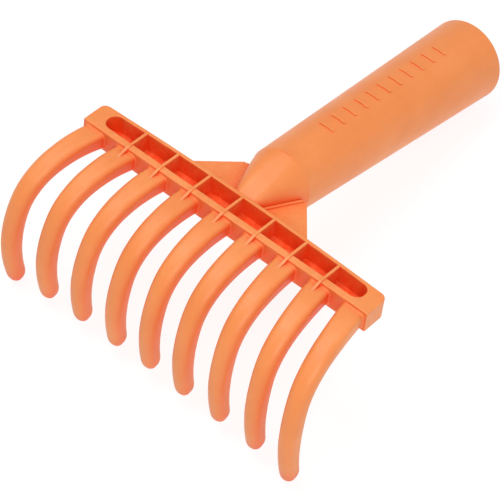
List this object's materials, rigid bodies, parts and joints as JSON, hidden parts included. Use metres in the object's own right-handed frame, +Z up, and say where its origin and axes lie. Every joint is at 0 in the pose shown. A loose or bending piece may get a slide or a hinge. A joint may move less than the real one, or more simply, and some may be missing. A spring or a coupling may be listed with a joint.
{
  "type": "hand rake",
  "caption": "One-piece plastic hand rake: a row of long down-curved tines on a pocketed cross bar, with a tapered tubular handle that also takes a pole.",
  "frame": {"origin": "middle of the object on the surface it lies on, resting on the outer tine tips and the lowest point of the handle's open end", "axes": "+Z up, +X along the cross bar, +Y from the bar back along the handle; the tines point to -Y and curve down"},
  "size_m": [0.1626, 0.2238, 0.0673],
  "materials": {
    "orange_plastic": "satin"
  },
  "bodies": {
    "root": {"handle_socket": "orange_plastic", "neck": "orange_plastic", "gusset_left": "orange_plastic", "gusset_right": "orange_plastic", "front_wall": "orange_plastic", "back_wall": "orange_plastic", "pocket_floor": "orange_plastic", "end_block_left": "orange_plastic", "end_block_right": "orange_plastic", "pocket_rib_2": "orange_plastic", "pocket_rib_3": "orange_plastic", "pocket_rib_4": "orange_plastic", "pocket_rib_5": "orange_plastic", "pocket_rib_6": "orange_plastic", "pocket_rib_7": "orange_plastic", "pocket_rib_8": "orange_plastic", "tine_1": "orange_plastic", "tine_2": "orange_plastic", "tine_3": "orange_plastic", "tine_4": "orange_plastic", "tine_5": "orange_plastic", "tine_6": "orange_plastic", "tine_7": "orange_plastic", "tine_8": "orange_plastic", "tine_9": "orange_plastic", "grip_marks": "orange_plastic"}
  },
  "joints": []
}
